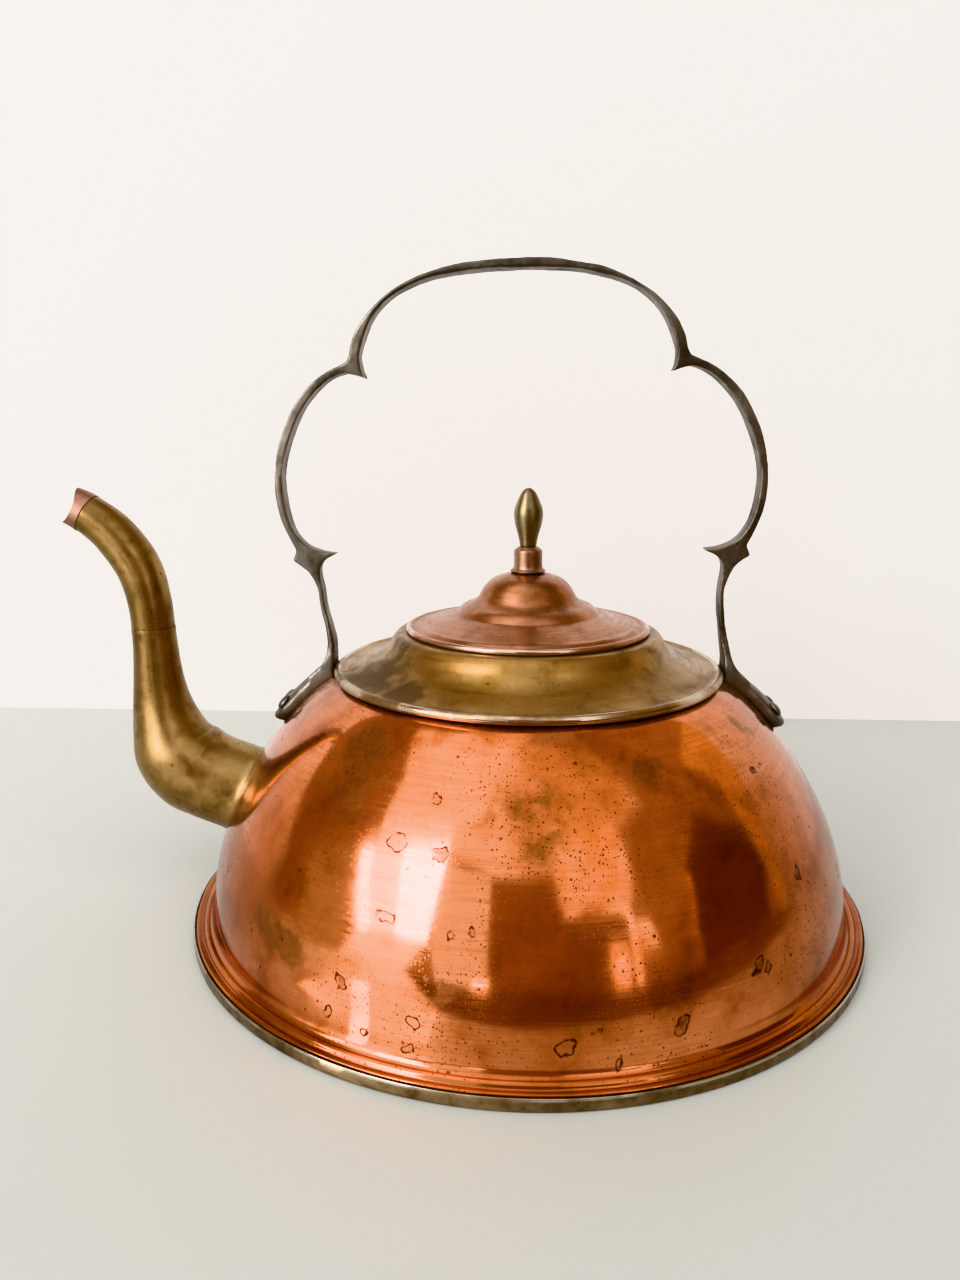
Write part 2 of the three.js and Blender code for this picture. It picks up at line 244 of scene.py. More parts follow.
sleeve_outline = [
    (39.6, 94.8),
    (40.3, 94.9),
    *spline([(40.4, 96), (40.4, 102.2)], 1.5),
    (38, 103.2),
    (37.6, 102.4),
    *spline([(39.6, 101.7), (39.6, 96)], 1.5),
]
sleeve = turned("lid_sleeve", sleeve_outline, 144)

# ---- Ferrule and finial on the lid ----

ferrule_outline = [
    (2.3, 123.3),
    *spline([(6.2, 123.3), (6.25, 123.6), (5.7, 124), (5.2, 124.5), (5.02, 125.3)], 0.2),
    *spline([(5, 126), (5, 129.6)], 0.8),
    *spline([(5, 130.3), (4.85, 130.75), (4.3, 131.15), (3.5, 131.8), (3.2, 131.9)], 0.2),
    (2.3, 131.9),
]
ferrule = turned("lid_ferrule", ferrule_outline, 64)
ripple(ferrule, 4, 0.06, seed=5)

bud = [
    (2.9, 132.2), (3.05, 133), (3.15, 134), (3.4, 135), (3.75, 136.4), (4.25, 138), (4.8, 140.2),
    (5.05, 142), (5.08, 143.4), (4.85, 145.2), (4.15, 147.2), (3.35, 149), (2.4, 150.8),
    (1.2, 151.9), (0.01, 152.3),
]
finial = turned("finial", [(0, 117), (1.9, 117), (1.9, 132.2), *spline(bud, 0.35)], 64)
ripple(finial, 5, 0.07, seed=6)

# ---- Spout: a swan neck, its stations given as [x, height, outer radius] ----

SPOUT_WALL = 1.1
SPOUT_SINK = 0.8
SPOUT_SEAM = 88.5
SEAM_GAP = 0.03
SPOUT_TIP_LENGTH = 7.5
SPOUT_TIP_SWELL = 0.25
SPOUT_ROW_LENGTH = 0.8
SPOUT_EDGE_BEVEL = 0.22
NOTCH_RADIUS = 8
NOTCH_DEPTH = 4.2
spout_stations = [
    (-95, 36.6, 16.2), (-107.7, 41.5, 16.1), (-117.4, 45.2, 16.1), (-124.4, 49.2, 16.6),
    (-129.9, 55.8, 15.6), (-132.7, 64.1, 12.9), (-134.6, 75.2, 10.1), (-135.3, 86.6, 8.5),
    (-135.5, 98.4, 7.8), (-136.3, 110.9, 7.6), (-139.6, 123.8, 7.9), (-147.1, 135, 7.7),
    (-155, 141.7, 7.2), (-163.2, 146.2, 6.6),
]
spout_line = np.array(spline(spout_stations, 0.5))
spout_run = np.gradient(spout_line[:, :2], axis=0)
spout_run /= np.linalg.norm(spout_run, axis=1)[:, None]
spout_reach = np.concatenate([[0], np.cumsum(np.linalg.norm(np.diff(spout_line, axis=0), axis=1))])
spout_length = spout_reach[-1]
notch_centre = spout_line[-1, :2] + spout_run[-1] * (NOTCH_RADIUS - NOTCH_DEPTH)
dome_heights = [z for r, z in dome]
dome_radii = [r for r, z in dome]


def spout_point(reach, angle, inset):
    """A point of the spout's skin, by the distance along it and the angle round it."""
    x, z, radius = (np.interp(reach, spout_reach, spout_line[:, k]) for k in range(3))
    run_x, run_z = (np.interp(reach, spout_reach, spout_run[:, k]) for k in range(2))
    side = (radius - inset) * math.cos(angle)
    return np.array([x - run_z * side, (radius - inset) * math.sin(angle), z + run_x * side])


def first_reach(passed, low, high):
    """The distance along the spout where a skin line passes a surface."""
    for _ in range(24):
        middle = (low + high) / 2
        low, high = (low, middle) if passed(middle) else (middle, high)
    return high


def clear_of_dome(point):
    """Whether a point is outside the body, but for the depth that the root is soldered in."""
    return math.hypot(point[0], point[1]) > np.interp(point[2], dome_heights, dome_radii) - SPOUT_SINK


def in_notch(point):
    """Whether a point is inside the bird's-mouth cut."""
    return math.hypot(point[0] - notch_centre[0], point[2] - notch_centre[1]) < NOTCH_RADIUS


def spout_piece(name, start, end, swell, columns=72):
    """A length of the spout, its skin lines running from start to end with swell as extra radius."""
    rows = max(6, round((end(0, 0) - start(0, 0)) / SPOUT_ROW_LENGTH))
    vertices = []
    for inset, shares in ((0, np.linspace(0, 1, rows + 1)), (SPOUT_WALL, np.linspace(1, 0, rows + 1))):
        angles = 2 * math.pi * np.arange(columns) / columns
        ends = [(start(angle, inset), end(angle, inset)) for angle in angles]
        for share in shares:
            for i, (first, last) in enumerate(ends):
                reach = first + (last - first) * share
                grown = inset - (swell(reach, first) if inset == 0 else 0)
                vertices.append(spout_point(reach, 2 * math.pi * i / columns, grown))
    piece = make_piece(f"{name}_smooth", vertices, looped_faces(2 * rows + 2, columns))
    edge = piece.modifiers.new("edge", "BEVEL")
    edge.width = SPOUT_EDGE_BEVEL * MM
    edge.segments = 3
    edge.angle_limit = math.radians(55)
    apply_modifiers(piece)
    piece.data.shade_smooth()
    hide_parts(name)
    return piece


def at(reach):
    """A straight end of a spout piece."""
    return lambda angle, inset: reach


def spout_root(angle, inset):
    """Where a skin line leaves the dome."""
    return first_reach(lambda s: clear_of_dome(spout_point(s, angle, inset)), 0, 40)


def spout_mouth(angle, inset):
    """Where a skin line ends at the bird's-mouth cut."""
    return first_reach(lambda s: in_notch(spout_point(s, angle, inset)), spout_length - 7, spout_length)


def root_swell(reach, first):
    """A solder fillet at the root, and the rolled edge at the seam."""
    fillet = 0.9 * math.exp(-(reach - first) / 1.1)
    rolled_edge = 0.16 * math.exp(-(((SPOUT_SEAM - 1 - reach) / 0.8) ** 2))
    return fillet + rolled_edge


def even_swell(extra):
    """The same extra radius all along a spout piece."""
    return lambda reach, first: extra


tip_start = spout_length - SPOUT_TIP_LENGTH
neck_start = SPOUT_SEAM + SEAM_GAP
spout_lower = spout_piece("spout_lower", spout_root, at(SPOUT_SEAM), root_swell)
spout_upper = spout_piece("spout_upper", at(neck_start), at(tip_start - SEAM_GAP), even_swell(0))
spout_tip = spout_piece("spout_tip", at(tip_start), spout_mouth, even_swell(SPOUT_TIP_SWELL))
for spout_part in (spout_lower, spout_upper):
    ripple(spout_part, 18, 0.24, seed=7)
    ripple(spout_part, 6, 0.03, seed=8)
ripple(spout_tip, 5, 0.12, seed=9)

# ---- Handle: a cast arch with a pointed lobe each side, its feet following the dome ----

HANDLE_LEAN = 0.018
HANDLE_SHIFT = 2.35
HANDLE_FOOT_HEIGHT = 80
LEAN_START = 92
LEAN_RISE = 23
GAP = 0.3
SEAT_DEPTH = 0.3
FOOT_THICKNESS = 4.4
FOOT_BOTTOM = -0.3
MELT_BELOW = 95
SEAT_BELOW = 105
SEAT_OUTSIDE = 60
RIVET_RING = 84.5
RIVET_HALF_SPACING = 4.2

leg_outside = [
    (79.5, 128.1), (76.7, 126.3), (74.1, 123.9), (72.3, 120.3), (71.3, 117), (71, 113),
    (70.8, 100), (71.6, 94), (73.2, 90.2), (75.6, 87.4), (78.3, 85.2),
]
leg_inside = [
    (69.2, 91), (68.5, 100), (69.1, 112), (69.5, 118), (70.3, 123), (69.8, 126.4), (67.6, 128.6),
    (63.8, 130.3),
]
handle_outer = [
    *bezier((0, 226.5), (42.9, 227.5), (55.6, 206), (56.2, 197.2), 40),
    (57.4, 195),
    *bezier((60.8, 193.6), (73.9, 189), (84.3, 171.3), (84.3, 154.8), 30),
    *bezier((84.3, 154.8), (84.3, 145), (83.1, 142.1), (78.2, 131.6), 20)[1:],
    *spline(leg_outside, 1),
    (78.3, 70),
]
handle_inner = [
    (69.2, 70),
    *spline(leg_inside, 1),
    *spline([(63.9, 130.6), (68, 130.9), (71.3, 131.9)], 1),
    *bezier((71.3, 131.9), (82, 135), (81.7, 153.6), (81.7, 154.8), 24)[1:],
    *bezier((81.7, 154.8), (81.7, 163.8), (73.8, 188.5), (57.8, 191.6), 28)[1:],
    *spline([(54.5, 190.9), (51.3, 189.8)], 1),
    *spline([(51.5, 190.1), (52.5, 192.5), (52.9, 197)], 1),
    *bezier((52.9, 197), (49, 214), (39, 223.8), (0, 223.7), 40)[1:],
]
half_widths = [(90, 6), (96, 4), (102, 3), (128, 3.1), (136, 3.7), (190, 3.9), (205, 4.5)]


def dome_at(radius):
    """The point of the dome at a radius, and the direction out of it, both in the plane of X and Z."""
    height = np.interp(radius, dome_radii[::-1], dome_heights[::-1])
    lower = np.interp(radius + 1, dome_radii[::-1], dome_heights[::-1])
    return Vector((radius, 0, height)), Vector((height - lower, 0, 1)).normalized()


def arch_piece():
    """The arch, extruded each way to its half width, then leaned towards the spout above its feet."""
    half = [*handle_outer, *handle_inner]
    ring = [*half, *[(-x, z) for x, z in half[-2:0:-1]]]
    heights, widths = zip(*half_widths)
    vertices = []
    for sign in (-1, 1):
        for x, z in ring:
            free = min(max((z - LEAN_START) / LEAN_RISE, 0), 1)
            free = free * free * (3 - 2 * free)
            leaned = x - free * (HANDLE_SHIFT + HANDLE_LEAN * (z - HANDLE_FOOT_HEIGHT))
            vertices.append((leaned, sign * np.interp(z, heights, widths), z + free * HANDLE_LEAN * x))
    count = len(ring)
    near_side = tuple(range(count))
    far_side = tuple(range(2 * count - 1, count - 1, -1))
    rim = [(i, (i + 1) % count, count + (i + 1) % count, count + i) for i in range(count)]
    return make_piece("handle_smooth", vertices, [near_side, far_side, *rim])


def foot_piece(sign):
    """A tongue of even thickness laid along the dome, with a round toe and a slightly crowned top."""
    toe, heel, length, rows, columns = 7.6, 5.6, 16, 40, 12
    middle, out = dome_at(RIVET_RING)
    down = Vector((out.z, 0, -out.x))
    vertices = []
    for level in (FOOT_BOTTOM, 1):
        for row in range(rows + 1):
            along = toe - (toe + length) * row / rows
            half = toe + (heel - toe) * -along / length
            if along > 0:
                half = math.sqrt(max(toe**2 - along**2, 0.01))
            for column in range(columns + 1):
                across = half * (2 * column / columns - 1)
                flat = middle + down * along + Vector((0, across, 0))
                radius = math.hypot(flat.x, flat.y)
                point, normal = dome_at(radius)
                crown = 0.98 * (1 - (across / half) ** 4 * 0.4) * (1 - max(0, along / toe) ** 4 * 0.15)
                thick = GAP + FOOT_THICKNESS * (level if level < 1 else crown)
                turn = math.atan2(flat.y, flat.x)
                spot = point + normal * thick
                vertices.append((sign * spot.x * math.cos(turn), spot.x * math.sin(turn), spot.z))
    width, layer = columns + 1, (columns + 1) * (rows + 1)
    faces = []
    for row in range(rows):
        for column in range(columns):
            a = row * width + column
            faces.append((a, a + 1, a + width + 1, a + width))
            faces.append(tuple(layer + i for i in (a, a + width, a + width + 1, a + 1)))
    edge = [*range(columns), *[r * width + columns for r in range(rows)]]
    edge += [rows * width + c for c in range(columns, 0, -1)] + [r * width for r in range(rows, 0, -1)]
    faces += [(a, b, layer + b, layer + a) for a, b in zip(edge, [*edge[1:], edge[0]])]
    return make_piece("foot_blank", vertices, faces)


def joined(pieces):
    """The first piece, with the others' meshes joined into it."""
    work = bmesh.new()
    for piece in pieces:
        work.from_mesh(piece.data)
    work.to_mesh(pieces[0].data)
    work.free()
    for piece in pieces[1:]:
        bpy.data.objects.remove(piece)
    return pieces[0]


def seat_on_dome(piece):
    """Moves vertices that are deeper in the dome than the seat's depth out to it."""
    for vertex in piece.data.vertices:
        x, y, z = vertex.co / MM
        reach = math.hypot(x, y)
        point, normal = dome_at(min(reach, DOME_FOOT[0]))
        too_deep = (z - point.z) * normal.z < -SEAT_DEPTH
        if z < SEAT_BELOW and reach > SEAT_OUTSIDE and too_deep:
            lifted = point - normal * SEAT_DEPTH
            share = lifted.x / reach
            vertex.co = Vector((x * share, y * share, lifted.z)) * MM
    piece.data.update()


handle = joined([arch_piece(), foot_piece(1), foot_piece(-1)])
seat_on_dome(handle)
remesh = handle.modifiers.new("remesh", "REMESH")
remesh.mode = "VOXEL"
remesh.voxel_size = 0.42 * MM
soften = handle.modifiers.new("soften", "SMOOTH")
soften.factor = 0.5
soften.iterations = 5
apply_modifiers(handle)
foot_group = handle.vertex_groups.new(name="feet")
foot_vertices = [v.index for v in handle.data.vertices if v.co.z < MELT_BELOW * MM]
foot_group.add(foot_vertices, 1.0, "REPLACE")
melt = handle.modifiers.new("melt", "SMOOTH")
melt.vertex_group = "feet"
melt.factor = 0.5
melt.iterations = 12
apply_modifiers(handle)
seat_on_dome(handle)
handle.data.shade_smooth()
ripple(handle, 9, 0.3, seed=10)
ripple(handle, 2.2, 0.07, seed=11)
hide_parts("handle")

# ---- Rivets: two side by side on each foot, with domed heads ----

RIVET_SHANK = 1.4
RIVET_HEAD = 2.9
RIVET_TAIL = 2.3
HEAD_BOTTOM = GAP + FOOT_THICKNESS - 0.45
HEAD_HEIGHT = 1.5
TAIL_TOP = -2.75
TAIL_HEIGHT = 1.0
rivet_outline = [
    (0.01, TAIL_TOP - TAIL_HEIGHT),
    (RIVET_TAIL - 0.5, TAIL_TOP - TAIL_HEIGHT),
    (RIVET_TAIL, TAIL_TOP - 0.4),
    (RIVET_TAIL, TAIL_TOP),
    (RIVET_SHANK, TAIL_TOP),
    (RIVET_SHANK, HEAD_BOTTOM - 0.2),
    (RIVET_HEAD - 0.2, HEAD_BOTTOM - 0.25),
    *bezier(
        (RIVET_HEAD, HEAD_BOTTOM),
        (RIVET_HEAD * 0.97, HEAD_BOTTOM + HEAD_HEIGHT * 0.7),
        (RIVET_HEAD * 0.5, HEAD_BOTTOM + HEAD_HEIGHT),
        (0.01, HEAD_BOTTOM + HEAD_HEIGHT),
        12,
    ),
]


def rivet(name, sign, side):
    """A rivet standing on the dome. sign is its foot's side in X, and side its own in Y."""
    middle, out = dome_at(RIVET_RING)
    angle = side * math.asin(RIVET_HALF_SPACING / RIVET_RING)
    about = Matrix.Rotation(angle, 4, "Z")
    place, axis = about @ middle, about @ out
    place.x *= sign
    axis.x *= sign
    stand = Matrix.Translation(place) @ axis.to_track_quat("Z", "Y").to_matrix().to_4x4()
    vertices = [stand @ Vector(v) for v in turned_vertices(rivet_outline, 40)]
    piece = make_piece(f"{name}_smooth", vertices, looped_faces(len(rivet_outline), 40))
    ripple(piece, 2, 0.08, seed=side + 3 * sign)
    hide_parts(name)
    return piece


rivets = [
    rivet(f"rivet_{foot_name}_{side_name}", sign, side)
    for foot_name, sign in (("back", 1), ("spout", -1))
    for side_name, side in (("near", -1), ("far", 1))
]

# ---- Materials ----


class Look:
    """A node material being made. Values are sockets or numbers, and lengths are in millimetres."""

    def __init__(self, name):
        self.material = bpy.data.materials.new(name)
        self.material.use_nodes = True
        self.tree = self.material.node_tree
        self.shader = self.tree.nodes["Principled BSDF"]
        self.shader.inputs["Metallic"].default_value = 1
        where = self.tree.nodes.new("ShaderNodeTexCoord").outputs["Object"]
        self.place = self.scaled(where, 1 / MM)
        self.x, self.y, self.z = self.split(self.place)

    def set(self, socket, value):
        """Links a socket to another, or sets its own value."""
        if isinstance(value, bpy.types.NodeSocket):
            self.tree.links.new(value, socket)
        elif isinstance(value, tuple) and len(value) == 3 and socket.type == "RGBA":
            socket.default_value = (*value, 1)
        else:
            socket.default_value = value

    def add(self, kind, inputs, output=0, **settings):
        """Adds a node with its settings and inputs, and returns one of its outputs."""
        made = self.tree.nodes.new(kind)
        for key, value in settings.items():
            setattr(made, key, value)
        for key, value in inputs.items():
            self.set(made.inputs[key], value)
        return made.outputs[output]

    def split(self, vector):
        node = self.add("ShaderNodeSeparateXYZ", {0: vector}).node
        return [node.outputs[k] for k in range(3)]

    def join(self, x, y, z):
        return self.add("ShaderNodeCombineXYZ", {0: x, 1: y, 2: z})

    def math(self, operation, a, b=0.0):
        return self.add("ShaderNodeMath", {0: a, 1: b}, operation=operation)

    def both(self, *shares):
        """The product of some shares."""
        result = shares[0]
        for share in shares[1:]:
            result = self.math("MULTIPLY", result, share)
        return result

    def plus(self, a, b, share):
        """The sum of a and a share of b."""
        return self.math("ADD", a, self.math("MULTIPLY", b, share))

    def either(self, *shares):
        """The largest of some shares."""
        result = shares[0]
        for share in shares[1:]:
            result = self.math("MAXIMUM", result, share)
        return result

    def step(self, value, low, high, first=0.0, last=1.0):
        """Goes smoothly from first to last as the value goes from low to high."""
        inputs = {"Value": value, "From Min": low, "From Max": high, "To Min": first, "To Max": last}
        if low > high:
            inputs.update({"From Min": high, "From Max": low, "To Min": last, "To Max": first})
        return self.add("ShaderNodeMapRange", inputs, interpolation_type="SMOOTHSTEP")

    def moved(self, vector, shift):
        return self.add("ShaderNodeVectorMath", {0: vector, 1: shift}, operation="ADD")

    def scaled(self, vector, factor):
        return self.add("ShaderNodeVectorMath", {0: vector, "Scale": factor}, operation="SCALE")

    def measured(self, operation, a, b):
        """A number from two vectors, such as their distance."""
        return self.add("ShaderNodeVectorMath", {0: a, 1: b}, "Value", operation=operation)

    def noise(self, size, detail=3.0, where=None, roughness=0.55, distortion=0.0, seed=0.0):
        """Noise from 0 to 1 whose blobs are about the size."""
        vector = where or self.place
        if seed:
            vector = self.moved(vector, (seed * 37.0, seed * 91.0, seed * 53.0))
        inputs = {
            "Vector": vector,
            "Scale": 0.5 / size,
            "Detail": detail,
            "Roughness": roughness,
            "Distortion": distortion,
        }
        return self.add("ShaderNodeTexNoise", inputs)

    def warped(self, amount, scale, detail):
        """The place, moved each way by noise up to the amount."""
        inputs = {"Vector": self.place, "Scale": scale, "Detail": detail}
        push = self.scaled(self.add("ShaderNodeTexNoise", inputs, "Color"), 2 * amount)
        place = self.add("ShaderNodeVectorMath", {0: self.place, 1: push}, operation="ADD")
        return self.moved(place, (-amount, -amount, -amount))

    def round_streaks(self, along, across, height=None, detail=3.0, seed=0.0):
        """Streaks of a length and width round the Z axis, across the height or another value."""
        flat = self.join(self.x, self.y, 0.0)
        unit = self.add("ShaderNodeVectorMath", {0: flat}, operation="NORMALIZE")
        rim_x, rim_y, _ = self.split(self.scaled(unit, 100 / along))
        level = self.math("MULTIPLY", self.z if height is None else height, 1 / across)
        return self.noise(0.5, detail, self.join(rim_x, rim_y, level), seed=seed)

    def pits(self, spacing, size, share, seed=0.0):
        """Round pits up to a radius, in a share of the cells of a spacing."""
        vector = self.moved(self.place, (seed * 11.0, seed * 23.0, seed * 17.0))
        node = self.add("ShaderNodeTexVoronoi", {"Vector": vector, "Scale": 1 / spacing}).node
        chance = self.split(node.outputs["Color"])[0]
        radius = self.step(chance, 1 - share, 1, 0, size / spacing)
        gap = self.math("SUBTRACT", radius, node.outputs["Distance"])
        return self.step(gap, 0, 0.4 * size / spacing)

    def mix(self, share, a, b):
        """Colour a turning to colour b as the share goes from 0 to 1."""
        node = self.tree.nodes.new("ShaderNodeMix")
        node.data_type = "RGBA"
        self.set(node.inputs[0], share)
        self.set(node.inputs[6], a)
        self.set(node.inputs[7], b)
        return node.outputs[2]

    def blend(self, share, a, b):
        """Number a turning to number b as the share goes from 0 to 1."""
        node = self.tree.nodes.new("ShaderNodeMix")
        self.set(node.inputs[0], share)
        self.set(node.inputs[2], a)
        self.set(node.inputs[3], b)
        return node.outputs[0]

    def hollows(self, distance=3.0):
        """How far a spot is closed in by what is near it, from 0 to 1."""
        inputs = {"Distance": distance * MM}
        open_share = self.add("ShaderNodeAmbientOcclusion", inputs, "AO", samples=2)
        return self.math("SUBTRACT", 1.0, open_share)

    def edges(self, low=0.52, high=0.6):
        """Where the surface bends sharply outwards."""
        return self.step(self.add("ShaderNodeNewGeometry", {}, "Pointiness"), low, high)

    def finish(self, colour, roughness, height, depth):
        """Sets the colour, the roughness, and a bump whose height from 0 to 1 is the depth."""
        self.set(self.shader.inputs["Base Color"], colour)
        self.set(self.shader.inputs["Roughness"], roughness)
        inputs = {"Height": height, "Distance": depth * MM, "Strength": 1.0}
        self.set(self.shader.inputs["Normal"], self.add("ShaderNodeBump", inputs))
        return self.material

    def brushed(self, amount):
        """Highlights stretched across the turning marks."""
        tangent = self.add("ShaderNodeTangent", {}, direction_type="RADIAL", axis="Z")
        self.set(self.shader.inputs["Tangent"], tangent)
        self.shader.inputs["Anisotropic"].default_value = amount
        self.shader.inputs["Anisotropic Rotation"].default_value = 0.25


def dome_spot(azimuth, height):
    """A point of the dome by its angle from the front, to the right, in degrees, and its height."""
    radius = float(np.interp(height, dome_heights, dome_radii))
    angle = math.radians(azimuth)
    return (radius * math.sin(angle), -radius * math.cos(angle), float(height))


def drop_outlines(look, marks, wobble=2.4, line=0.42):
    """Dried drops, drawn as uneven outlines and partly filled. drop_marks says what a mark holds."""
    place = look.warped(wobble, 0.24, 3)
    nearest, filled = 99.0, 0.0
    for azimuth, height, radius, stretch, lean, fill in marks:
        a, t = math.radians(azimuth), math.radians(lean)
        along = (math.cos(a) * math.cos(t), math.sin(a) * math.cos(t), math.sin(t))
        away = look.moved(place, tuple(-c for c in dome_spot(azimuth, height)))
        length = look.measured("DOT_PRODUCT", away, along)
        square = look.measured("DOT_PRODUCT", away, away)
        relief = look.both(length, length, 1 - 1 / stretch**2)
        reach = look.math("SQRT", look.math("SUBTRACT", square, relief))
        outside = look.math("SUBTRACT", reach, radius)
        nearest = look.math("MINIMUM", look.math("ABSOLUTE", outside), nearest)
        if fill:
            filled = look.either(look.step(outside, 0.2, -0.5, 0, fill), filled)
    uneven = look.noise(1.3, 3, seed=3)
    outline = look.both(look.step(nearest, line, line * 0.3), look.step(uneven, 0.36, 0.5, 0.3, 1))
    return look.either(outline, look.both(filled, look.step(uneven, 0.4, 0.6, 0.35, 0.85)))


def patches(look, marks, ragged=0.5):
    """Soft stains: a point and a radius each, with ragged edges. Gives the largest share of any."""
    rough = look.noise(5, 4, roughness=0.65, seed=4)
    rough = look.math("MULTIPLY", look.math("SUBTRACT", rough, 0.5), ragged * 2.4)
    place = look.warped(9 * ragged, 0.13, 4)
    result = 0.0
    for point, radius in marks:
        distance = look.measured("DISTANCE", place, point)
        share = look.math("SUBTRACT", 1.0, look.math("DIVIDE", distance, radius))
        share = look.math("ADD", share, rough)
        result = look.math("MAXIMUM", share, result)
    return look.step(result, 0.12, 0.7)


COPPER_BARE = (0.8, 0.3, 0.14)
COPPER_FILM = (0.48, 0.13, 0.04)
COPPER_BROWN = (0.22, 0.058, 0.012)
COPPER_OLIVE = (0.19, 0.068, 0.016)
COPPER_PIT = (0.13, 0.026, 0.01)
COPPER_DARK = (0.06, 0.012, 0.007)
# Dried drops on the dome: azimuth, height, radius, stretch, lean in degrees and filled share.
drop_marks = [
    (-22, 59.3, 2.5, 1.2, 30, 0.2), (-14, 58.2, 1.9, 1.4, 90, 0.7), (-21.2, 42, 1.7, 1.6, 0, 0.1),
    (-26.9, 23.2, 1.5, 1.6, -50, 0.9), (-29.1, 13, 1.1, 2, 60, 0.2), (-15.2, 17.3, 1.9, 1.15, -45, 0),
    (-15.8, 9.1, 1.3, 1.4, 0, 0.35), (-22.5, 11.1, 1.1, 1.2, 60, 0), (-13.4, 29.4, 0.7, 1.4, 20, 0.3),
    (-10.7, 40, 0.8, 1.7, 90, 0.1), (-7.6, 41, 0.7, 1.8, 95, 0.1), (-16.6, 70.3, 1.5, 1, 0, 0),
    (5.8, 13.5, 2, 1.4, 10, 0.1), (10.4, 18, 0.5, 1.3, 30, 1), (22.2, 15.7, 1.6, 1.6, 45, 0.8),
    (13, 8, 1, 1.6, 70, 0.2), (36.5, 25.6, 1.2, 1.7, 70, 0.6), (38.4, 23.8, 1, 1.4, 100, 0.5),
    (35.4, 24.2, 0.6, 1.5, 60, 1), (51.1, 42.6, 1.6, 1.4, 70, 1), (52.8, 69.8, 0.9, 1.5, 120, 0.9),
    (-62, 33, 1.6, 1.3, 20, 0.1), (-73, 52, 1.9, 1.5, 70, 0.5), (70, 30, 1.5, 1.4, 40, 0.2),
    (118, 40, 2.1, 1.3, 110, 0.1), (150, 24, 1.6, 1.6, 75, 0.7), (-130, 46, 2, 1.2, 0, 0.1),
    (-160, 20, 1.4, 1.7, 50, 0.9), (178, 58, 1.9, 1.4, 95, 0.2),
]
# Brown stains on the dome: azimuth, height and radius.
tarnish_spots = [
    (-45, 28, 8), (-41, 27.5, 9), (-36.5, 27.5, 8), (-38, 77, 15), (-34, 68, 12), (-1.7, 69.5, 4.5),
    (4, 71.5, 4), (2.5, 61.5, 7), (24, 75, 9), (-11, 25, 5), (95, 60, 16), (140, 72, 14),
    (-115, 70, 15), (-150, 35, 14), (170, 28, 13), (60, 80, 8),
]
# Where the dome is polished most, and where it is pitted most, in the same way.
polished_spots = [(-15, 64, 42), (-24, 40, 30)]
pitted_spots = [(2, 66, 52), (-26, 22, 24)]


def on_dome(spots):
    """Stains for patches(), from an azimuth, height and radius each."""
    return [(dome_spot(azimuth, height), radius) for azimuth, height, radius in spots]


def copper_body():
    """Spun copper: polished unevenly, with a golden film, brown tarnish, dried drops and pits, painted
    shade on its left and right sides, and painted shade in hollows.
    """
    look = Look("aged copper, body")
    broad = look.noise(26, 4, roughness=0.6, distortion=0.6)
    cloud = look.noise(7, 5, roughness=0.65, seed=1)
    fine = look.noise(1.1, 4, roughness=0.7, seed=2)
    streaks = look.round_streaks(26, 0.5, detail=4)
    wide_streaks = look.round_streaks(60, 2.6, detail=3, seed=1)
    film = look.step(look.plus(broad, cloud, 0.6), 0.62, 0.98)
    polished = patches(look, on_dome(polished_spots), 0.3)
    film = look.both(film, look.math("SUBTRACT", 1.0, look.both(polished, 0.7)))
    colour = look.mix(film, COPPER_BARE, COPPER_FILM)
    streaky = look.step(look.plus(streaks, wide_streaks, 0.5), 0.62, 0.95)
    colour = look.mix(look.both(streaky, 0.45), colour, COPPER_FILM)
    brown = look.both(look.step(cloud, 0.5, 0.72), look.step(broad, 0.38, 0.6, 0.25, 1), 0.75)
    colour = look.mix(brown, colour, COPPER_BROWN)
    # Painted shade: the dome's left and right sides, seen from the front, turn brown, more so higher
    # up.
    side = look.plus(look.plus(look.math("ABSOLUTE", look.x), broad, 24), look.z, 0.4)
    colour = look.mix(look.step(side, 86, 116, 0, 0.45), colour, COPPER_BROWN)
    stains = patches(look, on_dome(tarnish_spots), 0.85)
    colour = look.mix(look.both(stains, look.step(fine, 0.2, 0.75, 0.5, 0.88)), colour, COPPER_OLIVE)
    hem = look.step(look.plus(look.z, cloud, 5), 10.5, 7, 0, 0.5)
    colour = look.mix(hem, colour, COPPER_BROWN)
    pitted = look.step(look.noise(20, 3, seed=6), 0.44, 0.6, 0.3, 1)
    pitted = look.either(pitted, patches(look, on_dome(pitted_spots)))
    pits = look.either(look.both(look.pits(1.25, 0.46, 0.9), pitted), look.pits(4.2, 0.8, 0.4, seed=1))
    pits = look.either(pits, look.both(look.pits(0.8, 0.32, 0.8, seed=2), look.step(pitted, 0.5, 1)))
    colour = look.mix(look.both(pits, 0.92), colour, COPPER_PIT)
    rings = drop_outlines(look, drop_marks)
    marks = look.either(pits, rings)
    colour = look.mix(rings, colour, COPPER_DARK)
    # Painted shade, with grime: darker and rougher where nearby parts close the surface in, in creases
    # and where parts meet.
    shade_and_grime = look.step(look.hollows(2.5), 0.35, 0.85)
    colour = look.mix(look.both(shade_and_grime, 0.85), colour, COPPER_DARK)
    rough = look.step(streaks, 0.3, 0.7, 0.075, 0.15)
    rough = look.blend(film, rough, look.math("ADD", rough, 0.04))
    rough = look.blend(look.either(look.both(stains, 0.6), marks, shade_and_grime), rough, 0.42)
    height = look.plus(look.plus(look.both(streaks, 0.16), fine, 0.1), marks, -0.12)
    look.brushed(0.6)
    return look.finish(colour, rough, height, 0.03)


